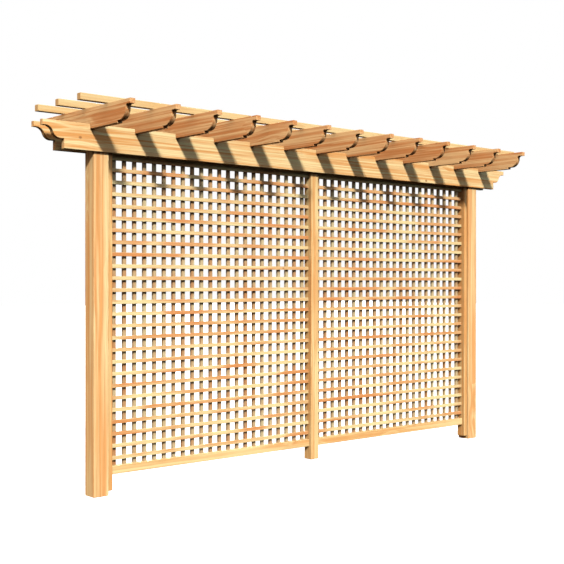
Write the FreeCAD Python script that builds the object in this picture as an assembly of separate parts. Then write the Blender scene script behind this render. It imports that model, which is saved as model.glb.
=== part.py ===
import FreeCAD, Part
import math
import os

# A free-standing pergola wall: two posts, twin beams, rafters and slats above, two lattice panels below.
# Millimetres. X runs along the wall, Y through it from front to back, Z up from the ground.
# The origin is on the ground, midway between the posts.

# Posts
post_size = 140.0
post_span = 4920.0  # outer face to outer face
arris = 3.0  # eased long edges of the sawn timber

# Twin beams, let into the post tops and resting on the shoulders there
beam_thickness = 45.0
beam_height = 216.0
beam_underside = 2817.0
beam_proud = 25.0  # a beam stands this far out from the post's face
beam_overhang = 470.0  # from the post's outer face to the beam's tip
beam_nose = 44.0
beam_ledge = 24.0
beam_cove = 71.0
beam_round = 71.0
beam_flat = 31.0
beam_heel = 77.0

# Rafters, notched over both beams
rafter_count = 13
rafter_thickness = 50.0
end_bay_extra = 13.0  # the bays at both ends are this much wider than the others
rafter_height = 171.5
rafter_length = 1382.0
rafter_nose = 40.0
rafter_ledge = 39.0
rafter_cove = 25.0
rafter_round = 89.5
rafter_flat = 32.0
rafter_heel = 17.0
seat_depth = 39.0
seat_clearance = 0.5

# Slats along the tops of the rafters
slat_width = 55.0
slat_height = 55.0
slat_overhang = 295.0  # from the post's outer face to the slat's end
slat_spacing = 347.0

# Lattice panels, each a frame of two stiles and two rails
stile_width = 48.0
stile_clearance = 3.0  # between the stiles and the back beam
stile_ground_gap = 35.0
rail_height = 70.0
rail_recess = 26.0  # the rails' front faces, behind the stiles' front faces
rail_setback = 11.0  # the rails' back faces, in front of the stiles' back faces
rail_ground_gap = 161.0
rail_drop = 15.5  # the top rail's underside, below the beams' underside

# Laths, the level ones in front of the upright ones
lath_width = 32.0
lath_thickness = 24.0
row_count = 26
row_gap_bottom = 46.0  # clear height between the bottom rail and the lowest lath
column_count = 22
column_gap = 40.0  # clear width between a stile and the nearest upright lath

# Screws, with heads let in flush
heavy_shank = 8.0
heavy_head = 16.0
light_shank = 6.0
light_head = 12.0
head_height = 4.0
point_length = 9.0
bore_clearance = 0.3
bore_runout = 1.0  # a bore starts this far outside the face
tip_cover = 10.0  # wood left beyond the tip where a screw ends near a face
rafter_bite = 85.0  # depth of each screw in the piece that it holds to
slat_bite = 55.0
rail_bite = 60.0
beam_screw_edge = 54.0  # from the beam's top and bottom edges
panel_screw_count = 3
panel_screw_edge = 390.0  # from the ground, and from the beams' underside

# Places that follow from the sizes
post_outer = post_span / 2
post_inner = post_outer - post_size
post_centre = post_outer - post_size / 2
tongue = post_size - 2 * (beam_thickness - beam_proud)
beam_inner = tongue / 2
beam_outer = beam_inner + beam_thickness
beam_centre = beam_inner + beam_thickness / 2
beam_top = beam_underside + beam_height
rafter_underside = beam_top - seat_depth
rafter_top = rafter_underside + rafter_height
rafter_reach = post_outer + rafter_thickness / 2
inner_rafter_reach = (rafter_reach - end_bay_extra) * (rafter_count - 3) / (rafter_count - 1)
beam_end = (beam_nose, beam_ledge, beam_cove, beam_round, beam_flat, beam_heel)
rafter_end = (rafter_nose, rafter_ledge, rafter_cove, rafter_round, rafter_flat, rafter_heel)
slat_top = rafter_top + slat_height
panel_width = post_inner
top_rail_underside = beam_underside - rail_drop
stile_top = top_rail_underside + rail_height
stile_front = -beam_inner
stile_back = beam_inner - stile_clearance
rail_front = stile_front + rail_recess
rail_back = stile_back - rail_setback
rail_centre = (rail_front + rail_back) / 2
bottom_rail_top = rail_ground_gap + rail_height
upright_front = rail_back - lath_thickness
level_front = upright_front - lath_thickness
top_rail_screw_level = top_rail_underside + rail_height / 2
stile_screw_level = (top_rail_screw_level + stile_top) / 2
heavy = (heavy_shank / 2, heavy_head / 2)
light = (light_shank / 2, light_head / 2)

straightness = 0.01  # sine of the angle within which an edge runs along the grain
across_x = FreeCAD.Vector(1, 0, 0)
across_y = FreeCAD.Vector(0, 1, 0)
upward = FreeCAD.Vector(0, 0, 1)

pieces = {}
bores = {}
screws = {}


def add(name, solids):
    pieces[name] = solids
    bores[name] = []


def about(centre, width):
    return centre - width / 2, centre + width / 2


def spread(first, last, count):
    # Evenly spaced places, both ends included.
    return [first + (last - first) * i / (count - 1) for i in range(count)]


def board(xs, ys, zs):
    corner = FreeCAD.Vector(xs[0], ys[0], zs[0])
    return Part.makeBox(xs[1] - xs[0], ys[1] - ys[0], zs[1] - zs[0], corner)


def eased(solid, grain):
    # The four edges along the grain lose their sharp corner.
    along = [e for e in solid.Edges if e.tangentAt(e.FirstParameter).cross(grain).Length < straightness]
    return solid.makeChamfer(arris, along)


def run(points):
    return [Part.makeLine(a, b) for a, b in zip(points, points[1:])]


def shaped_end(at, tip, inward, top, bottom, end):
    # A board's end from its top corner: nose, ledge, cove, round, flat and heel, down to the underside.
    # Cove and round are arcs that start level and turn by the same angle to where they meet.
    nose, ledge, cove, swell, flat, heel = end
    z_nose = top - nose
    z_heel = bottom + heel
    turn = math.acos(1 - (z_nose - z_heel) / (cove + swell))
    round_end = ledge + (cove + swell) * math.sin(turn)
    corner = tip + inward * (round_end + flat)

    def on_cove(angle):
        inset = ledge + cove * math.sin(angle)
        return at(tip + inward * inset, z_nose - cove * (1 - math.cos(angle)))

    def on_round(angle):
        inset = round_end - swell * math.sin(angle)
        return at(tip + inward * inset, z_heel + swell * (1 - math.cos(angle)))

    edges = run([at(tip, top), at(tip, z_nose), on_cove(0)])
    edges.append(Part.Arc(on_cove(0), on_cove(turn / 2), on_cove(turn)).toShape())
    edges.append(Part.Arc(on_cove(turn), on_round(turn / 2), on_round(0)).toShape())
    edges += run([on_round(0), at(corner, z_heel), at(corner, bottom)])
    return edges, corner


def shaped_board(at, half_length, top, bottom, end, through):
    # A board on edge with both ends shaped alike.
    left, left_corner = shaped_end(at, -half_length, 1, top, bottom, end)
    right, right_corner = shaped_end(at, half_length, -1, top, bottom, end)
    edges = left + right
    edges += run([at(-half_length, top), at(half_length, top)])
    edges += run([at(left_corner, bottom), at(right_corner, bottom)])
    return Part.Face(Part.Wire(Part.sortEdges(edges)[0])).extrude(through)


def turned(radius, head_radius, top, tip):
    # A screw's outline, turned about the Z axis, its seat at minus the head's height.
    outline = [(0, top), (head_radius, top), (head_radius, -head_height), (radius, -head_height)]
    outline += [(radius, tip + point_length), (0, tip), (0, top)]
    wire = Part.makePolygon([FreeCAD.Vector(r, 0, z) for r, z in outline])
    return Part.Face(wire).revolve(FreeCAD.Vector(), upward, 360)


def drive(group, radii, length, seat, heading, names):
    # One screw, its head flush at the seat, through the named pieces, each bored for it.
    place = FreeCAD.Placement(seat, FreeCAD.Rotation(-upward, heading))
    screw = turned(*radii, 0, -length)
    bore = turned(*(r + bore_clearance for r in radii), bore_runout, -length - bore_clearance)
    screw.Placement = place
    bore.Placement = place
    screws.setdefault(group, []).append(screw)
    for name in names:
        bores[name].append(bore)


def make_post(name, centre):
    post = eased(board(about(centre, post_size), about(0, post_size), (0, beam_top)), upward)
    for side in (-1, 1):
        shoulder = about(side * (beam_inner + post_size / 2), post_size)
        post = post.cut(board(about(centre, 2 * post_size), shoulder, (beam_underside, 2 * beam_top)))
    add(name, [post])


def make_beam(name, front):
    def at(x, z):
        return FreeCAD.Vector(x, front, z)

    half = post_outer + beam_overhang
    add(name, [shaped_board(at, half, beam_top, beam_underside, beam_end, across_y * beam_thickness)])


def make_rafter(name, centre):
    def at(y, z):
        return FreeCAD.Vector(centre - rafter_thickness / 2, y, z)

    levels = (rafter_top, rafter_underside)
    rafter = shaped_board(at, rafter_length / 2, *levels, rafter_end, across_x * rafter_thickness)
    for side in (-1, 1):
        seat = about(side * beam_centre, beam_thickness + 2 * seat_clearance)
        rafter = rafter.cut(board(about(centre, 2 * rafter_thickness), seat, (beam_underside, beam_top)))
    add(name, [rafter])
    for side, beam in ((-1, "front_beam"), (1, "back_beam")):
        head = FreeCAD.Vector(centre, side * beam_centre, rafter_top)
        length = rafter_height - seat_depth + rafter_bite
        drive("rafter_screws", heavy, length, head, -upward, (name, beam))


def make_slat(name, centre, rafters):
    half = post_outer + slat_overhang
    slat = board((-half, half), about(centre, slat_width), (rafter_top, slat_top))
    add(name, [eased(slat, across_x)])
    for rafter, x in rafters:
        head = FreeCAD.Vector(x, centre, slat_top)
        drive("slat_screws", light, slat_height + slat_bite, head, -upward, (name, rafter))


def make_panel(side, left):
    # One framed panel: its stiles, its rails, then the laths between them.
    right = left + panel_width
    stile_places = {"left": (left, left + stile_width), "right": (right - stile_width, right)}
    inner = (left + stile_width, right - stile_width)
    rail_depth = (rail_front, rail_back)
    for hand, xs in stile_places.items():
        stile = board(xs, (stile_front, stile_back), (stile_ground_gap, stile_top))
        add(f"{side}_panel_{hand}_stile", [eased(stile, upward)])
    for level, bottom in (("bottom", rail_ground_gap), ("top", top_rail_underside)):
        name = f"{side}_panel_{level}_rail"
        add(name, [eased(board(inner, rail_depth, (bottom, bottom + rail_height)), across_x)])
        for hand, outer, heading in (("left", left, across_x), ("right", right, -across_x)):
            head = FreeCAD.Vector(outer, rail_centre, bottom + rail_height / 2)
            held = (f"{side}_panel_{hand}_stile", name)
            drive("rail_screws", light, stile_width + rail_bite, head, heading, held)
    for hand, xs in stile_places.items():
        head = FreeCAD.Vector(sum(xs) / 2, stile_back, stile_screw_level)
        length = stile_back - stile_front + beam_thickness - tip_cover
        held = (f"{side}_panel_{hand}_stile", "front_beam")
        drive("stile_screws", light, length, head, -across_y, held)
    make_laths(side, inner)


def make_laths(side, inner):
    # The highest level lath lies against the top rail.
    lowest = bottom_rail_top + row_gap_bottom + lath_width / 2
    highest = top_rail_underside - lath_width / 2
    first = inner[0] + column_gap + lath_width / 2
    last = inner[1] - column_gap - lath_width / 2
    level_depth = (level_front, upright_front)
    upright_depth = (upright_front, rail_back)
    rows = [about(z, lath_width) for z in spread(lowest, highest, row_count)]
    columns = [about(x, lath_width) for x in spread(first, last, column_count)]
    add(f"{side}_level_laths", [board(inner, level_depth, zs) for zs in rows])
    height = (bottom_rail_top, top_rail_underside)
    add(f"{side}_upright_laths", [board(xs, upright_depth, height) for xs in columns])


def fix_panels():
    # Screws behind the level laths hold the outer stiles to the posts and the two middle stiles together.
    behind = (upright_front + stile_back) / 2
    length = 2 * stile_width - tip_cover
    joints = (
        (-panel_width + stile_width, -across_x, ("left_panel_left_stile", "left_post")),
        (-stile_width, across_x, ("left_panel_right_stile", "right_panel_left_stile")),
        (panel_width - stile_width, across_x, ("right_panel_right_stile", "right_post")),
    )
    for x, heading, held in joints:
        for z in spread(panel_screw_edge, beam_underside - panel_screw_edge, panel_screw_count):
            head = FreeCAD.Vector(x, behind, z)
            drive("panel_screws", light, length, head, heading, held)


def fix_beams():
    # Screws driven from behind pass through the back beam and the post's tongue into the front beam.
    length = tongue + 2 * beam_thickness - tip_cover
    for x, post in ((-post_centre, "left_post"), (post_centre, "right_post")):
        for z in (beam_underside + beam_screw_edge, beam_top - beam_screw_edge):
            head = FreeCAD.Vector(x, beam_outer, z)
            drive("beam_screws", heavy, length, head, -across_y, ("back_beam", post, "front_beam"))


def bored(solid, cutters):
    near = [c for c in cutters if solid.BoundBox.intersect(c.BoundBox)]
    return solid.cut(near) if near else solid


def build():
    make_post("left_post", -post_centre)
    make_post("right_post", post_centre)
    make_beam("front_beam", -beam_outer)
    make_beam("back_beam", beam_inner)
    inner_rows = spread(-inner_rafter_reach, inner_rafter_reach, rafter_count - 2)
    rafter_rows = enumerate([-rafter_reach, *inner_rows, rafter_reach], 1)
    rafters = [(f"rafter_{i:02d}", x) for i, x in rafter_rows]
    for name, x in rafters:
        make_rafter(name, x)
    for name, y in (("front_slat", -slat_spacing), ("middle_slat", 0), ("back_slat", slat_spacing)):
        make_slat(name, y, rafters)
    make_panel("left", -panel_width)
    make_panel("right", 0)
    fix_panels()
    fix_beams()
    os.makedirs("parts", exist_ok=True)
    for name, solids in pieces.items():
        finished = [bored(solid, bores[name]) for solid in solids]
        export(name, finished)
    for group, solids in screws.items():
        export(group, solids)


def export(name, solids):
    shape = solids[0] if len(solids) == 1 else Part.makeCompound(solids)
    shape.exportStep(f"parts/{name}.step")
    print(name, len(shape.Solids), "valid" if shape.isValid() else "not valid")


build()
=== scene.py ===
import math
import bpy
import numpy as np
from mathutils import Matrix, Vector


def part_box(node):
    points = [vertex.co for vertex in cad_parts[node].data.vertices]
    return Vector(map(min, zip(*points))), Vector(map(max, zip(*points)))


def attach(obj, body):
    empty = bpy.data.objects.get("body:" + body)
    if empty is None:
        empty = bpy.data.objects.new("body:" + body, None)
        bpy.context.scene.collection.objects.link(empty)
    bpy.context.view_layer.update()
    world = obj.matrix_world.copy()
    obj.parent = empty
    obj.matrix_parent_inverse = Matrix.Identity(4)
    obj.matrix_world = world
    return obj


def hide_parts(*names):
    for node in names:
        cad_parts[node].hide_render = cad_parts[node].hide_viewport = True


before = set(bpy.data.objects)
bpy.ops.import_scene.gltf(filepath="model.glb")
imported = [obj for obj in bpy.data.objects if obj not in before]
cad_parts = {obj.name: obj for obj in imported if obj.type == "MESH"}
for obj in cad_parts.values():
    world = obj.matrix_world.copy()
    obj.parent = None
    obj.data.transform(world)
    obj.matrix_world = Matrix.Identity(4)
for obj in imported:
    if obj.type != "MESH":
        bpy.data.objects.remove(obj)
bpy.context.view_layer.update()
draw = np.random.default_rng(41)
print("frame loaded:", len(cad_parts), "nodes")


# node helpers: values are socket names or numbers, each given a constant or another socket
def addNode(tree, kind, values, **settings):
    node = tree.nodes.new(kind)
    for name, value in settings.items():
        setattr(node, name, value)
    for socket, value in values.items():
        if isinstance(value, bpy.types.NodeSocket):
            tree.links.new(value, node.inputs[socket])
        else:
            node.inputs[socket].default_value = value
    return node


def mathNode(tree, operation, *values):
    return addNode(tree, "ShaderNodeMath", dict(enumerate(values)), operation=operation).outputs[0]


def vectorNode(tree, operation, *values):
    node = addNode(tree, "ShaderNodeVectorMath", dict(enumerate(values)), operation=operation)
    return node.outputs["Value" if operation == "LENGTH" else "Vector"]


def smoothStep(tree, value, start, end, low=0.0, high=1.0):
    values = {0: value, 1: start, 2: end, 3: low, 4: high}
    return addNode(tree, "ShaderNodeMapRange", values, interpolation_type="SMOOTHSTEP").outputs[0]


def mixColour(tree, factor, first, second, blend="MIX"):
    values = {0: factor, 6: first, 7: second}
    return addNode(tree, "ShaderNodeMix", values, data_type="RGBA", blend_type=blend).outputs[2]


def noiseAt(tree, place, stretch, detail, roughness=0.5):
    stretched = vectorNode(tree, "MULTIPLY", place, stretch)
    values = {"Vector": stretched, "Scale": 1.0, "Detail": detail, "Roughness": roughness}
    return addNode(tree, "ShaderNodeTexNoise", values)


# the noises in the grain, for each metre: x runs along the board, y and z across it from the pith
grainNoise = {
    "wander": {"stretch": (0.8, 4.5, 4.5), "detail": 2.0},
    "rings": {"stretch": (1.1, 30.0, 30.0), "detail": 3.0},
    "bands": {"stretch": (0.45, 40.0, 0.0), "detail": 1.0},  # y is out from the pith here
    "streaks": {"stretch": (0.5, 62.0, 62.0), "detail": 1.0},
    "patches": {"stretch": (1.0, 9.0, 9.0), "detail": 2.0},
    "fibres": {"stretch": (7.0, 520.0, 520.0), "detail": 4.0, "roughness": 0.65},
}
noiseMiddle = 0.5
acrossBoard = (0.0, 1.0, 1.0)
grainLook = {
    "wander": 0.03,  # how far the pith strays, in metres
    "ringNoise": 1.6,  # how uneven the rings are, in ring widths
    "lateRise": (0.15, 0.86),  # where in a ring it goes dark
    "lateFall": (0.9, 1.0),  # and where it jumps back
    "bandEdges": (0.4, 0.6),
    "patchEdges": (0.36, 0.64),
    "fibreEdges": (0.25, 0.75),
    "fibreShade": (0.88, 1.08),
    "endDepth": 0.3,  # how far sawn ends go towards the deep colour
    "roughness": {"plain": 0.5, "fibre": 0.22, "late": -0.07, "end": 0.12},
    "height": {"late": 0.6, "knot": 0.5},  # beside the fibres' own
}
knotLook = {
    "stretch": (1.9, 6.5, 6.5),
    "scatter": 0.9,
    "live": (0.7, 0.72),  # cells under the first have no knot
    "shape": (0.75, 1.0, 1.0),  # a little longer along the board
    "edge": (0.0102, 0.017),  # radii where it begins to fade and where it ends
    "flowShape": (0.4, 1.0, 1.0),
    "flowReach": 0.12,  # how far off the rings begin to flow round it
    "flowPush": 0.035,
    "rings": 420.0,  # for each metre
    "dark": (0.30, 0.12, 0.04, 1.0),
    "pale": (0.50, 0.22, 0.075, 1.0),
    "strength": 0.85,
}


def makeKnots(group, place):
    # scattered centres, a share of them live: the board's rings are pushed out near each, and its core has
    # rings of its own
    stretched = vectorNode(group, "MULTIPLY", place, knotLook["stretch"])
    values = {"Vector": stretched, "Scale": 1.0, "Randomness": knotLook["scatter"]}
    cells = addNode(group, "ShaderNodeTexVoronoi", values)
    toKnot = vectorNode(group, "SUBTRACT", stretched, cells.outputs["Position"])
    toKnot = vectorNode(group, "DIVIDE", toKnot, knotLook["stretch"])
    chance = addNode(group, "ShaderNodeSeparateColor", {0: cells.outputs["Color"]}).outputs[0]
    live = smoothStep(group, chance, *knotLook["live"])
    flow = vectorNode(group, "LENGTH", vectorNode(group, "MULTIPLY", toKnot, knotLook["flowShape"]))
    push = smoothStep(group, flow, 0.0, knotLook["flowReach"], knotLook["flowPush"], 0.0)
    span = vectorNode(group, "LENGTH", vectorNode(group, "MULTIPLY", toKnot, knotLook["shape"]))
    core = smoothStep(group, span, *knotLook["edge"], 1.0, 0.0)
    ring = mathNode(group, "PINGPONG", mathNode(group, "MULTIPLY", span, knotLook["rings"]), 1.0)
    colour = mixColour(group, ring, knotLook["dark"], knotLook["pale"])
    return mathNode(group, "MULTIPLY", push, live), mathNode(group, "MULTIPLY", core, live), colour


def makeLateWood(group, place, radius, ringWidth):
    # rings are the distance from the pith over the ring width, plus noise; each goes slowly dark and then
    # jumps back
    uneven = noiseAt(group, place, **grainNoise["rings"]).outputs[0]
    rings = mathNode(group, "DIVIDE", radius, ringWidth)
    rings = mathNode(group, "MULTIPLY_ADD", uneven, grainLook["ringNoise"], rings)
    saw = mathNode(group, "FRACT", rings)
    rise = smoothStep(group, saw, *grainLook["lateRise"])
    fall = smoothStep(group, saw, *grainLook["lateFall"], 1.0, 0.0)
    return mathNode(group, "MULTIPLY", rise, fall)


def makeBands(group, place, bent, radius):
    # long bands of colour: the mean of one noise that follows the rings and one that runs along the board
    along = addNode(group, "ShaderNodeSeparateXYZ", {0: place}).outputs["X"]
    ringPlace = addNode(group, "ShaderNodeCombineXYZ", {0: along, 1: radius}).outputs[0]
    band = noiseAt(group, ringPlace, **grainNoise["bands"]).outputs[0]
    streak = noiseAt(group, bent, **grainNoise["streaks"]).outputs[0]
    band, streak = (smoothStep(group, part, *grainLook["bandEdges"]) for part in (band, streak))
    return mathNode(group, "MULTIPLY", mathNode(group, "ADD", band, streak), 1 / 2)


def makeTimberGrain():
    group = bpy.data.node_groups.new("timberGrain", "ShaderNodeTree")
    sockets = dict.fromkeys(("Tint", "End", "Ring", "Depth", "Warmth", "Band", "Patch", "Run"), "Float")
    sockets.update({"Place": "Vector", "Pale": "Color", "Warm": "Color", "Deep": "Color"})
    for name, kind in sockets.items():
        group.interface.new_socket(name=name, in_out="INPUT", socket_type="NodeSocket" + kind)
    for name, kind in {"Color": "Color", "Roughness": "Float", "Height": "Float"}.items():
        group.interface.new_socket(name=name, in_out="OUTPUT", socket_type="NodeSocket" + kind)
    given = group.nodes.new("NodeGroupInput").outputs
    out = group.nodes.new("NodeGroupOutput").inputs
    place = given["Place"]

    # the pith wanders across the board, and the radius is the distance from it
    wander = noiseAt(group, place, **grainNoise["wander"]).outputs["Color"]
    wander = vectorNode(group, "SUBTRACT", wander, (noiseMiddle,) * 3)
    wander = vectorNode(group, "MULTIPLY", wander, [grainLook["wander"] * axis for axis in acrossBoard])
    bent = vectorNode(group, "ADD", place, wander)
    push, core, knotColour = makeKnots(group, place)
    radius = vectorNode(group, "LENGTH", vectorNode(group, "MULTIPLY", bent, acrossBoard))
    radius = mathNode(group, "ADD", radius, push)

    late = makeLateWood(group, place, radius, given["Ring"])
    band = makeBands(group, place, bent, radius)
    run = addNode(group, "ShaderNodeCombineXYZ", {0: given["Run"], 1: 1.0, 2: 1.0}).outputs[0]
    patchPlace = vectorNode(group, "MULTIPLY", bent, run)
    patch = noiseAt(group, patchPlace, **grainNoise["patches"]).outputs[0]
    patch = smoothStep(group, patch, *grainLook["patchEdges"])
    fibre = noiseAt(group, place, **grainNoise["fibres"]).outputs[0]

    # warmth is the board's own, plus what band and patch add or take away
    warmth = given["Tint"]
    for part, share in ((band, given["Band"]), (patch, given["Patch"])):
        part = mathNode(group, "SUBTRACT", part, noiseMiddle)
        warmth = mathNode(group, "MULTIPLY_ADD", part, share, warmth)
    warmth = mathNode(group, "ADD", warmth, given["Warmth"])
    warmth = addNode(group, "ShaderNodeClamp", {0: warmth}).outputs[0]

    colour = mixColour(group, warmth, given["Pale"], given["Warm"])
    colour = mixColour(group, mathNode(group, "MULTIPLY", late, given["Depth"]), colour, given["Deep"])
    grey = smoothStep(group, fibre, *grainLook["fibreEdges"], *grainLook["fibreShade"])
    fibreShade = addNode(group, "ShaderNodeCombineColor", {0: grey, 1: grey, 2: grey}).outputs[0]
    colour = mixColour(group, 1.0, colour, fibreShade, "MULTIPLY")
    colour = mixColour(group, mathNode(group, "MULTIPLY", core, knotLook["strength"]), colour, knotColour)
    sawn = mathNode(group, "MULTIPLY", given["End"], grainLook["endDepth"])
    group.links.new(mixColour(group, sawn, colour, given["Deep"]), out["Color"])

    parts = grainLook["roughness"]
    rough = mathNode(group, "MULTIPLY_ADD", fibre, parts["fibre"], parts["plain"])
    rough = mathNode(group, "MULTIPLY_ADD", late, parts["late"], rough)
    rough = mathNode(group, "MULTIPLY_ADD", given["End"], parts["end"], rough)
    group.links.new(rough, out["Roughness"])
    height = mathNode(group, "MULTIPLY_ADD", late, grainLook["height"]["late"], fibre)
    height = mathNode(group, "MULTIPLY_ADD", core, grainLook["height"]["knot"], height)
    group.links.new(height, out["Height"])
    return group


timberGrain = makeTimberGrain()

# clear-oiled cedar: each use of it differs in ring width and depth, in how warm it is and in how its
# colour runs, between a pale and a warm one
timberLooks = {
    "post_timber": {
        "ring": 0.011, "depth": 0.20, "warmth": 0.45, "band": 1.3, "patch": 0.2, "run": 1.2,
        "pale": (0.95, 0.69, 0.33, 1.0), "warm": (0.84, 0.39, 0.13, 1.0),
    },
    "beam_timber": {
        "ring": 0.013, "depth": 0.15, "warmth": 0.48, "band": 1.4, "patch": 0.3, "run": 1.2,
        "pale": (0.98, 0.76, 0.38, 1.0), "warm": (0.83, 0.39, 0.12, 1.0),
    },
    "rafter_timber": {
        "ring": 0.012, "depth": 0.16, "warmth": 0.52, "band": 1.4, "patch": 0.3, "run": 2.0,
        "pale": (0.97, 0.61, 0.28, 1.0), "warm": (0.71, 0.28, 0.09, 1.0),
    },
    "slat_timber": {
        "ring": 0.010, "depth": 0.16, "warmth": 0.35, "band": 0.6, "patch": 0.5, "run": 1.5,
        "pale": (0.84, 0.61, 0.285, 1.0), "warm": (0.76, 0.43, 0.155, 1.0),
    },
    "frame_timber": {
        "ring": 0.009, "depth": 0.18, "warmth": 0.45, "band": 0.9, "patch": 0.4, "run": 1.5,
        "pale": (0.93, 0.71, 0.33, 1.0), "warm": (0.81, 0.39, 0.125, 1.0),
    },
    "lath_timber": {
        "ring": 0.008, "depth": 0.18, "warmth": 0.47, "band": 0.4, "patch": 0.85, "run": 1.8,
        "pale": (0.90, 0.72, 0.355, 1.0), "warm": (0.74, 0.30, 0.10, 1.0),
    },
    # the upright laths: the lath timber again, made darker as painted shade for their place behind the level
    # laths
    "upright_timber": {
        "ring": 0.008, "depth": 0.18, "warmth": 0.40, "band": 0.4, "patch": 0.6, "run": 4.5,
        "pale": (0.65, 0.53, 0.295, 1.0), "warm": (0.54, 0.23, 0.082, 1.0),
    },
}
timberFinish = {
    "deep": (0.52, 0.21, 0.06, 1.0),  # late wood and sawn ends
    "gap": (0.035, 0.018, 0.008, 1.0),  # what the timber gives back to other timber
    "bump": 0.35,
    "relief": 0.0006,
    "specular": 0.25,
}
boardMarks = {"Place": ("grain", "Vector"), "Tint": ("tint", "Fac"), "End": ("endGrain", "Fac")}


def timberMaterial(slotName):
    material = bpy.data.materials.new(slotName.replace("_timber", "Timber"))
    material.use_nodes = True
    tree = material.node_tree
    shader = tree.nodes["Principled BSDF"]
    values = {name.capitalize(): value for name, value in timberLooks[slotName].items()}
    values["Deep"] = timberFinish["deep"]
    for socket, (mark, output) in boardMarks.items():
        values[socket] = addNode(tree, "ShaderNodeAttribute", {}, attribute_name=mark).outputs[output]
    grain = addNode(tree, "ShaderNodeGroup", values, node_tree=timberGrain)
    relief = {"Strength": timberFinish["bump"], "Distance": timberFinish["relief"]}
    bump = addNode(tree, "ShaderNodeBump", {"Height": grain.outputs["Height"], **relief})
    # light that comes by way of other timber is mostly swallowed, so the gaps stay deep
    bounced = addNode(tree, "ShaderNodeLightPath", {}).outputs["Is Diffuse Ray"]
    colour = mixColour(tree, bounced, grain.outputs["Color"], timberFinish["gap"])
    tree.links.new(colour, shader.inputs["Base Color"])
    tree.links.new(grain.outputs["Roughness"], shader.inputs["Roughness"])
    tree.links.new(bump.outputs["Normal"], shader.inputs["Normal"])
    shader.inputs["Specular IOR Level"].default_value = timberFinish["specular"]
    return material


# zinc-plated steel: faint mottling in colour and gloss
steelLook = {
    "mottle": {"stretch": (260.0, 260.0, 260.0), "detail": 3.0},
    "dark": (0.46, 0.45, 0.42, 1.0),
    "pale": (0.68, 0.66, 0.60, 1.0),
    "mottleEdges": (0.2, 0.8),
    "roughness": (0.28, 0.46),
}


def screwMaterial():
    material = bpy.data.materials.new("screwSteel")
    material.use_nodes = True
    tree = material.node_tree
    shader = tree.nodes["Principled BSDF"]
    place = addNode(tree, "ShaderNodeTexCoord", {}).outputs["Object"]
    mottle = noiseAt(tree, place, **steelLook["mottle"]).outputs[0]
    colour = mixColour(tree, mottle, steelLook["dark"], steelLook["pale"])
    rough = smoothStep(tree, mottle, *steelLook["mottleEdges"], *steelLook["roughness"])
    tree.links.new(colour, shader.inputs["Base Color"])
    tree.links.new(rough, shader.inputs["Roughness"])
    shader.inputs["Metallic"].default_value = 1.0
    return material


timber = {slotName: timberMaterial(slotName) for slotName in timberLooks}
screwSteel = screwMaterial()
print("materials made:", len(timber) + 1)


def putPiece(node, material, points, faces, marks):
    # one finished piece, in place in its mesh, that stands for one CAD node
    name = node.split("_")[0] + "".join(word.capitalize() for word in node.split("_")[1:])
    mesh = bpy.data.meshes.new(name)
    mesh.from_pydata(points.reshape(-1, 3), [], faces)
    for markName, (kind, domain, values) in marks.items():
        layer = mesh.attributes.new(markName, kind, domain)
        layer.data.foreach_set("vector" if kind == "FLOAT_VECTOR" else "value", values.ravel())
    mesh.materials.append(material)
    mesh.validate()
    piece = bpy.data.objects.new(name, mesh)
    bpy.context.scene.collection.objects.link(piece)
    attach(piece, "root")
    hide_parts(node)
    return piece


# where in a log a board may come from: the least share of its reach from the pith, and metres along the log
logs = {"nearPith": 0.45, "along": 40.0}


def grainMarks(points, centres, along, look, endGrain, warmer=0.0):
    # grain places are the board's own, along it and across it, plus a shift to its place in a log: a random
    # way along, and the cosine and sine of a random bearing times its distance from the pith
    count = len(centres)
    order = [along, (along + 1) % 3, (along + 2) % 3]
    shift = draw.uniform(-1.0, 1.0, (count, 3))
    bearing = draw.uniform(0.0, 2 * np.pi, count)
    reach = draw.uniform(logs["nearPith"], 1.0, count) * look["pithReach"]
    shift[:, 0] *= logs["along"]
    shift[:, 1] = reach * np.cos(bearing)
    shift[:, 2] = reach * np.sin(bearing)
    flat = points.reshape(count, -1, 3)
    place = flat[:, :, order] - centres[:, None, order] + shift[:, None, :]
    tint = draw.uniform(-1.0, 1.0, count) * look["tint"] + warmer
    return {
        "grain": ("FLOAT_VECTOR", "POINT", place.reshape(-1, 3)),
        "tint": ("FLOAT", "POINT", np.repeat(tint, flat.shape[1])),
        "endGrain": ("FLOAT", "FACE", endGrain),
    }


def loopFaces(boards, rings, ringSize):
    # quads between neighbouring rings of each board, then one face over each end
    base = (np.arange(boards) * rings * ringSize)[:, None, None]
    ring = (np.arange(rings - 1) * ringSize)[None, :, None]
    at = np.arange(ringSize)[None, None, :]
    following = (at + 1) % ringSize
    lower = base + ring
    upper = lower + ringSize
    quads = np.stack([lower + at, lower + following, upper + following, upper + at], -1)
    starts = base[:, 0] + at[0][:, ::-1]
    ends = base[:, 0] + (rings - 1) * ringSize + at[0]
    return quads.reshape(-1, 4).tolist() + starts.tolist() + ends.tolist()


arrisSteps = 3
endEase = 0.6  # sawn ends are eased by this share of the arris


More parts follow.
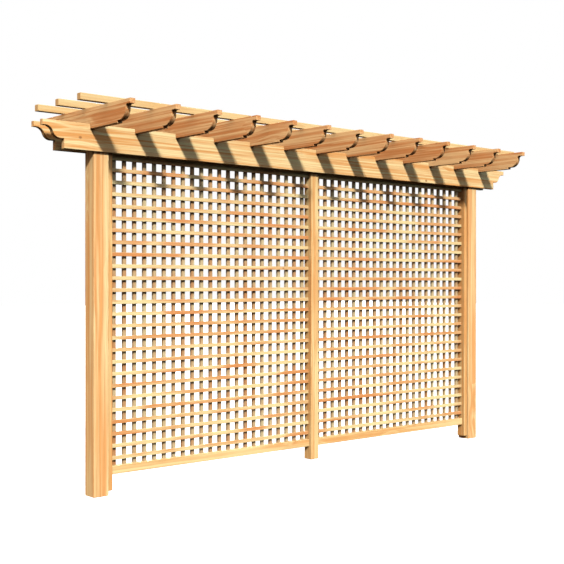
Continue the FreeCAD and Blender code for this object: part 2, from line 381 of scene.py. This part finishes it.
def carryBoards(low, high, along, arris, stations=None):
    # a rectangle with round corners carried along the board: each corner is a centre plus the arris radius
    # times the cosine and sine of an angle; each station gives a place along the board and how far both
    # pairs of sides are drawn in there
    low, high = np.atleast_2d(low), np.atleast_2d(high)
    across = [(along + 1) % 3, (along + 2) % 3]
    length = (high - low)[:, along]
    if stations is None:
        ease = arris * endEase
        drawnIn = np.array([[ease, ease], [0, 0], [0, 0], [ease, ease]])
        place = np.stack([0 * length, 0 * length + ease, length - ease, length], 1)
    else:
        place = np.repeat(np.array(stations)[None, :, 0], len(low), 0)
        drawnIn = np.array(stations)[:, 1:]
    corner = np.repeat(np.arange(4), arrisSteps + 1)
    angle = corner * np.pi / 2 + np.tile(np.linspace(0, np.pi / 2, arrisSteps + 1), 4)
    side = np.stack([np.array([1, -1, -1, 1])[corner], np.array([1, 1, -1, -1])[corner]], -1)
    turn = np.stack([np.cos(angle), np.sin(angle)], -1) * arris
    half = (high - low)[:, across] / 2
    middle = (high + low)[:, across] / 2
    span = half[:, None, :] - drawnIn[None] - arris
    section = middle[:, None, None, :] + side * span[:, :, None, :] + turn
    points = np.empty((len(low), len(drawnIn), len(corner), 3))
    points[..., along] = (low[:, along, None] + place)[:, :, None]
    points[..., across] = section
    faces = loopFaces(len(low), len(drawnIn), len(corner))
    sideCount = len(low) * (len(drawnIn) - 1) * len(corner)
    endGrain = np.concatenate([np.zeros(sideCount), np.ones(len(faces) - sideCount)])
    return points, faces, endGrain


# timberOrShadedCopy picks a look other than the slot's own, such as the upright laths' copy that is darkened
# as painted shade
def putBoards(node, slotName, along, look, low, high, stations=None, timberOrShadedCopy=None):
    points, faces, endGrain = carryBoards(low, high, along, look["arris"], stations)
    centres = (np.atleast_2d(low) + np.atleast_2d(high)) / 2
    warmer = look.get("warmer", {}).get(node, 0.0)
    marks = grainMarks(points, centres, along, look, endGrain, warmer)
    return putPiece(node, timber[timberOrShadedCopy or slotName], points, faces, marks)


def corners(node):
    return [np.array(c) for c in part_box(node)]


def middleOf(node, axis):
    return float(sum(corners(node))[axis] / 2)


# the two posts, with a tongue at the top between the beams; sizes are in metres here and below
posts = {
    "arris": 0.004,
    "pithReach": 0.045,  # the pith of the log is at most this far from the board's middle
    "tint": 0.08,  # boards differ in warmth by this, either way
    "warmer": {"right_post": 0.2},  # boards warmer than their neighbours, and by how much
    "ease": 0.003,  # at the foot and the top
    "trim": 0.0004,  # the tongue's sides are set in by this
}


def putPost(node):
    # from the foot up: eased foot, shaft, shoulder under the beams, tongue and eased top
    low, high = corners(node)
    shoulder = corners("front_beam")[0][2] - low[2]
    top = (high - low)[2]
    cut = (high - low)[1] / 2 - corners("back_beam")[0][1]
    ease, trim = posts["ease"], posts["trim"]
    shape = [(0, ease, ease), (ease, 0, 0), (shoulder, 0, 0), (shoulder, trim, cut)]
    shape += [(top - ease, trim, cut), (top, ease, cut + ease)]
    return putBoards(node, "post_timber", 2, posts, low, high, shape)


postPieces = [putPost(node) for node in ("left_post", "right_post")]
print("posts made")

# the slats over the rafters, planed down by the height of the screw heads
slats = {"arris": 0.003, "pithReach": 0.06, "tint": 0.15, "planed": 0.0008}
slatNodes = ("front_slat", "middle_slat", "back_slat")
for node in slatNodes:
    low, high = corners(node)
    slat = putBoards(node, "slat_timber", 0, slats, low, high - np.array([0, 0, slats["planed"]]))
    slat.visible_shadow = False  # so the rafters and beams stay clear of thin dark lines
print("slats made")

# the frames of the two lattice panels
stiles = {
    "arris": 0.003,
    "pithReach": 0.07,
    "tint": 0.15,
    "warmer": {
        "left_panel_left_stile": 0.25,
        "left_panel_right_stile": 0.3,
        "right_panel_right_stile": 0.5,
    },
}
rails = {"arris": 0.003, "pithReach": 0.07, "tint": 0.15}
for side in ("left", "right"):
    for hand in ("left", "right"):
        node = f"{side}_panel_{hand}_stile"
        putBoards(node, "frame_timber", 2, stiles, *corners(node))
    for level in ("bottom", "top"):
        node = f"{side}_panel_{level}_rail"
        putBoards(node, "frame_timber", 0, rails, *corners(node))
print("panel frames made")

laths = {"arris": 0.0015, "pithReach": 0.09, "tint": 0.2, "width": 0.032, "rows": 26, "columns": 22}


def putLaths(node, along, spread, count, timberOrShadedCopy):
    # the same lath at even steps, from one edge of the lattice to the other
    low, high = corners(node)
    starts = np.linspace(low[spread], high[spread] - laths["width"], count)
    lows = np.tile(low, (count, 1))
    highs = np.tile(high, (count, 1))
    lows[:, spread] = starts
    highs[:, spread] = starts + laths["width"]
    return putBoards(node, "lath_timber", along, laths, lows, highs, timberOrShadedCopy=timberOrShadedCopy)


# the upright laths take the lath timber's darker copy, painted shade for their place behind the level laths
for side in ("left", "right"):
    putLaths(f"{side}_level_laths", 0, 2, laths["rows"], "lath_timber")
    putLaths(f"{side}_upright_laths", 2, 0, laths["columns"], "upright_timber")
print("laths made")


# the shaped boards: an outline in the plane of the board, carried through its thickness
ogeeSteps = 18
easeMiddle = 0.3  # the eased edge is rounded by a ring at this share of it, in and across


def ogeeEnd(half, top, bottom, look):
    # from the underside up and out: heel, flat, round, cove, ledge and nose; round and cove are arcs that
    # start level and turn by the same angle to where they meet
    drop = top - bottom - look["nose"] - look["heel"]
    bothRadii = look["cove"] + look["round"]
    sweep = np.linspace(0, math.acos(1 - drop / bothRadii), ogeeSteps + 1)
    arc = np.stack([np.sin(sweep), 1 - np.cos(sweep)], -1)
    coveStart = np.array([half - look["ledge"], top - look["nose"]])
    roundStart = np.array([coveStart[0] - bothRadii * arc[-1, 0], bottom + look["heel"]])
    swell = roundStart + look["round"] * arc
    hollow = (coveStart - look["cove"] * arc)[::-1]
    heelX = roundStart[0] - look["flat"]
    heel = [(heelX, bottom), (heelX, roundStart[1])]
    nose = [(half, coveStart[1]), (half, top)]
    return np.concatenate([heel, swell, hollow[1:], nose])


def drawIn(outline, amount):
    # every corner moves inwards along the mitre of the two sides that meet there
    back = outline - np.roll(outline, 1, 0)
    ahead = np.roll(outline, -1, 0) - outline
    back /= np.linalg.norm(back, axis=1, keepdims=True)
    ahead /= np.linalg.norm(ahead, axis=1, keepdims=True)
    inwards = np.stack([-back[:, 1], back[:, 0]], -1) + np.stack([-ahead[:, 1], ahead[:, 0]], -1)
    return outline + amount * inwards / (1 + (back * ahead).sum(1))[:, None]


def putShapedBoard(node, slotName, along, look, notches=np.empty((0, 2))):
    # rings of the outline through the thickness, drawn in towards both faces by the eased edge
    low, high = corners(node)
    through = 1 - along
    half = (high - low)[along] / 2
    right = ogeeEnd(half, high[2], low[2], look)
    left = right[::-1] * (-1, 1)
    outline = np.concatenate([right, left, notches])
    ease = look["arris"]
    thickness = (high - low)[through]
    turn = ease * easeMiddle
    places = np.array([0, turn, ease, thickness - ease, thickness - turn, thickness])
    amounts = np.array([ease, turn, 0, 0, turn, ease])
    rings = np.stack([drawIn(outline, amount) for amount in amounts])
    points = np.empty((*rings.shape[:2], 3))
    points[..., along] = rings[..., 0]
    points[..., 2] = rings[..., 1]
    if along == 0:  # from back to front, so that the faces look outwards
        places = thickness - places
    points[..., through] = (low[through] + places)[:, None]
    faces = loopFaces(1, len(places), len(outline))
    ahead = np.roll(outline, -1, 0) - outline
    steepness = np.abs(ahead[:, 1]) / np.linalg.norm(ahead, axis=1)
    endGrain = np.concatenate([np.tile(steepness, len(places) - 1), np.zeros(2)])
    marks = grainMarks(points, (low + high)[None] / 2, along, look, endGrain)
    return putPiece(node, timber[slotName], points, faces, marks)


beams = {
    "nose": 0.044,
    "ledge": 0.024,
    "cove": 0.071,
    "round": 0.071,
    "flat": 0.031,
    "heel": 0.077,
    "arris": 0.003,
    "pithReach": 0.1,
    "tint": 0.05,
}
beamNodes = ("front_beam", "back_beam")
for node in beamNodes:
    putShapedBoard(node, "beam_timber", 0, beams)
print("beams made")

# the rafters, notched over both beams
rafters = {
    "nose": 0.040,
    "ledge": 0.039,
    "cove": 0.025,
    "round": 0.0895,
    "flat": 0.032,
    "heel": 0.017,
    "clearance": 0.0005,  # between the notches and the beams, at each side
    "arris": 0.003,
    "pithReach": 0.09,
    "tint": 0.12,
}
rafterNodes = sorted(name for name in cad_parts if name.startswith("rafter_") and name[-1].isdigit())


def notchCorners():
    # along the underside of the outline, up and over the front beam and then the back one
    found = []
    under = corners(rafterNodes[0])[0][2]
    for beam in beamNodes:
        low, high = corners(beam)
        start, end = low[1] - rafters["clearance"], high[1] + rafters["clearance"]
        found += [(start, under), (start, high[2]), (end, high[2]), (end, under)]
    return np.array(found)


rafterPieces = [putShapedBoard(node, "rafter_timber", 1, rafters, notchCorners()) for node in rafterNodes]
print("rafters made:", len(rafterNodes))


# screws: a low domed head with a lobed drive, a shank and a point
screws = {
    "around": 24,
    "proud": slats["planed"],  # height of the dome
    "crown": (0.8, 0.9),  # where the dome starts to turn down, as shares of its radius and height
    "rim": 0.2,  # height of the dome's edge, as a share
    "headDepth": 0.004,
    "lobes": 6,
    "lobeDepth": 0.16,
    "drive": 0.45,  # the drive's radius, as a share of the head's
    "driveFloor": -0.0022,
    "driveTaper": 0.9,
    "point": 0.009,
    "tip": 0.02,  # the rings at both ends close to this share
    "sharp": math.radians(35),
}


def screwSurface(shank, head, length):
    # rings carried round the axis, each with a height: the drive's radius swells and shrinks with the cosine
    # of the turn times the lobes, and the rest is turned
    turn = np.arange(screws["around"]) * 2 * np.pi / screws["around"]
    lobes = head * screws["drive"] * (1 + screws["lobeDepth"] * np.cos(screws["lobes"] * turn))
    plain = np.ones(screws["around"])
    proud = screws["proud"]
    rings = [
        (plain * shank * screws["tip"], -length),
        (plain * shank, screws["point"] - length),
        (plain * shank, -screws["headDepth"]),
        (plain * head, -screws["headDepth"]),
        (plain * head, proud * screws["rim"]),
        (plain * head * screws["crown"][0], proud * screws["crown"][1]),
        (lobes, proud),
        (lobes * screws["driveTaper"], screws["driveFloor"]),
        (lobes * screws["tip"], screws["driveFloor"]),
    ]
    radii = np.array([radius for radius, _ in rings])
    heights = np.repeat(np.array([[height] for _, height in rings]), screws["around"], 1)
    return np.stack([radii * np.cos(turn), radii * np.sin(turn), heights], -1)


def putScrews(node, look, length, seats, heading):
    # each screw is the same surface, turned so that its head looks out of the wood at its seat
    seats = np.array(seats, float)
    outward = np.broadcast_to(-np.array(heading, float), seats.shape)
    sideways = np.roll(outward, 1, 1)
    upright = np.cross(outward, sideways)
    surface = screwSurface(look["shank"], look["head"], length)
    turned = np.stack([sideways, upright, outward], 1)
    points = seats[:, None, None, :] + np.einsum("rak,nkx->nrax", surface, turned)
    faces = loopFaces(len(seats), *surface.shape[:2])
    piece = putPiece(node, screwSteel, points, faces, {})
    piece.data.shade_smooth()
    piece.data.set_sharp_from_angle(angle=screws["sharp"])
    return piece


def screwLength(node, axis):
    low, high = corners(node)
    return float((high - low)[axis])


heavyScrew = {"shank": 0.004, "head": 0.008}
lightScrew = {"shank": 0.003, "head": 0.006}
down, forwards = (0, 0, -1), (0, -1, 0)

# down through the rafters and the slats
rafterXs = [middleOf(node, 0) for node in rafterNodes]
rafterTop = corners(rafterNodes[0])[1][2]
rafterSeats = [(x, middleOf(beam, 1), rafterTop) for x in rafterXs for beam in beamNodes]
putScrews("rafter_screws", heavyScrew, screwLength("rafter_screws", 2), rafterSeats, down)
slatTop = corners("front_slat")[1][2] - slats["planed"]
slatSeats = [(x, middleOf(slatNode, 1), slatTop) for x in rafterXs for slatNode in slatNodes]
putScrews("slat_screws", lightScrew, screwLength("slat_screws", 2), slatSeats, down)

# from behind into the front beam, through the back beam and the posts or through the stiles
low, high = corners("beam_screws")
first, last = low + heavyScrew["head"], high - heavyScrew["head"]
beamSeats = [(x, high[1], z) for x in (first[0], last[0]) for z in (first[2], last[2])]
putScrews("beam_screws", heavyScrew, screwLength("beam_screws", 1), beamSeats, forwards)
stileNodes = [f"{side}_panel_{hand}_stile" for side in ("left", "right") for hand in ("left", "right")]
stileBack = corners("stile_screws")[1][1]
stileSeats = [(middleOf(node, 0), stileBack, middleOf("stile_screws", 2)) for node in stileNodes]
putScrews("stile_screws", lightScrew, screwLength("stile_screws", 1), stileSeats, forwards)

# sideways through the stiles into the posts and each other
panelLevels = 3
low, high = corners("panel_screws")
levels = np.linspace(low[2] + lightScrew["head"], high[2] - lightScrew["head"], panelLevels)
leftFace = corners("left_panel_left_stile")[1][0]
sideFaces = [(leftFace, -1), (corners("left_panel_right_stile")[0][0], 1)]
sideFaces += [(corners("right_panel_right_stile")[0][0], 1)]
panelSeats = [(x, middleOf("panel_screws", 1), z) for x, _ in sideFaces for z in levels]
panelHeadings = np.repeat([(way, 0, 0) for _, way in sideFaces], panelLevels, 0)
putScrews("panel_screws", lightScrew, float(leftFace - low[0]), panelSeats, panelHeadings)
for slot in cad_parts["rail_screws"].material_slots:  # hidden in the wood
    slot.material = screwSteel
print("screws made")


# the floor, pale enough to fade into the background
floor = {
    "size": 120.0,
    "colour": (0.92, 0.92, 0.91, 1.0),
    "roughness": 0.9,
    "glowColour": (1.0, 1.0, 1.0, 1.0),
    "glow": 0.84,
}


def putFloor():
    half = floor["size"] / 2
    square = [(-half, -half, 0), (half, -half, 0), (half, half, 0), (-half, half, 0)]
    mesh = bpy.data.meshes.new("floor")
    mesh.from_pydata(square, [], [(0, 1, 2, 3)])
    material = bpy.data.materials.new("paleFloor")
    material.use_nodes = True
    shader = material.node_tree.nodes["Principled BSDF"]
    shader.inputs["Base Color"].default_value = floor["colour"]
    shader.inputs["Roughness"].default_value = floor["roughness"]
    shader.inputs["Emission Color"].default_value = floor["glowColour"]
    shader.inputs["Emission Strength"].default_value = floor["glow"]
    mesh.materials.append(material)
    plane = bpy.data.objects.new("floor", mesh)
    bpy.context.scene.collection.objects.link(plane)
    plane.visible_diffuse = False
    plane.visible_glossy = False


putFloor()

# one high light from the front left and a low soft one from behind right
sun = {
    "travel": (0.535, 1.0, -0.85),
    "strength": 4.1,
    "spread": math.radians(5.5),
    "colour": (1.0, 0.985, 0.96),
}
backLight = {
    "travel": (-0.6, -1.0, -0.3),
    "strength": 2.0,
    "spread": math.radians(25),
    "colour": (1.0, 0.97, 0.92),
}


def putLamp(name, look):
    lamp = bpy.data.lights.new(name, "SUN")
    lamp.energy = look["strength"]
    lamp.angle = look["spread"]
    lamp.color = look["colour"]
    holder = bpy.data.objects.new(name, lamp)
    holder.rotation_euler = Vector(look["travel"]).to_track_quat("-Z", "Y").to_euler()
    bpy.context.scene.collection.objects.link(holder)
    return holder.light_linking


def gather(name, pieces, state):
    # pieces that a light takes in or leaves out
    group = bpy.data.collections.new(name)
    for piece in pieces:
        group.objects.link(piece)
    for entry in group.collection_objects:
        entry.light_linking.link_state = state
    return group


# the posts have the same light to themselves, without the shadows of the rafters' ends
putLamp("studioSun", sun).receiver_collection = gather("otherThanPosts", postPieces, "EXCLUDE")
postLight = putLamp("postSun", sun)
postLight.receiver_collection = gather("posts", postPieces, "INCLUDE")
postLight.blocker_collection = gather("otherThanRafters", rafterPieces, "EXCLUDE")
putLamp("backLight", backLight)

# a sky that fills the shadows, by the direction that the light comes from, and shows as plain white
sky = {
    "above": (0.84, 1.04, 1.24, 1.0),
    "left": (1.3, 0.93, 0.72, 1.0),
    "leftEdges": (-0.75, 0.05),  # from the left colour to the other
    "below": (0.008, 0.007, 0.006, 1.0),
    "liftEdges": (0.0, 0.55),  # from the horizon up
    "behind": 0.5,
    "behindEdges": (-0.5, 0.6),  # from full strength in front to its share behind
    "shown": (1.0, 1.0, 1.0, 1.0),
}


def putSky():
    world = bpy.data.worlds.new("studioSky")
    bpy.context.scene.world = world
    world.use_nodes = True
    tree = world.node_tree
    tree.nodes.clear()
    look = addNode(tree, "ShaderNodeTexCoord", {}).outputs["Generated"]
    axes = addNode(tree, "ShaderNodeSeparateXYZ", {0: look}).outputs
    lift = smoothStep(tree, axes["Z"], *sky["liftEdges"])
    front = smoothStep(tree, axes["Y"], *sky["behindEdges"], 1.0, sky["behind"])
    lift = mathNode(tree, "MULTIPLY", lift, front)
    above = mixColour(tree, smoothStep(tree, axes["X"], *sky["leftEdges"]), sky["left"], sky["above"])
    colour = mixColour(tree, lift, sky["below"], above)
    fill = addNode(tree, "ShaderNodeBackground", {"Color": colour})
    shown = addNode(tree, "ShaderNodeBackground", {"Color": sky["shown"]})
    seen = addNode(tree, "ShaderNodeLightPath", {}).outputs["Is Camera Ray"]
    both = addNode(tree, "ShaderNodeMixShader", {0: seen, 1: fill.outputs[0], 2: shown.outputs[0]})
    addNode(tree, "ShaderNodeOutputWorld", {"Surface": both.outputs[0]}, is_active_output=True)


putSky()

# at eye height, in front of the left end
camera = {
    "place": (-6.7095, -7.3206, 1.7564),
    "turn": math.radians(-40.857),
    "lens": 64.93,
    "sensor": 36.0,
}


def putCamera():
    data = bpy.data.cameras.new("camera")
    data.lens = camera["lens"]
    data.sensor_width = camera["sensor"]
    holder = bpy.data.objects.new("camera", data)
    holder.location = camera["place"]
    holder.rotation_euler = (math.pi / 2, 0.0, camera["turn"])
    bpy.context.scene.collection.objects.link(holder)
    bpy.context.scene.camera = holder
    bpy.context.scene.view_settings.view_transform = "Standard"


putCamera()
print("stage set")
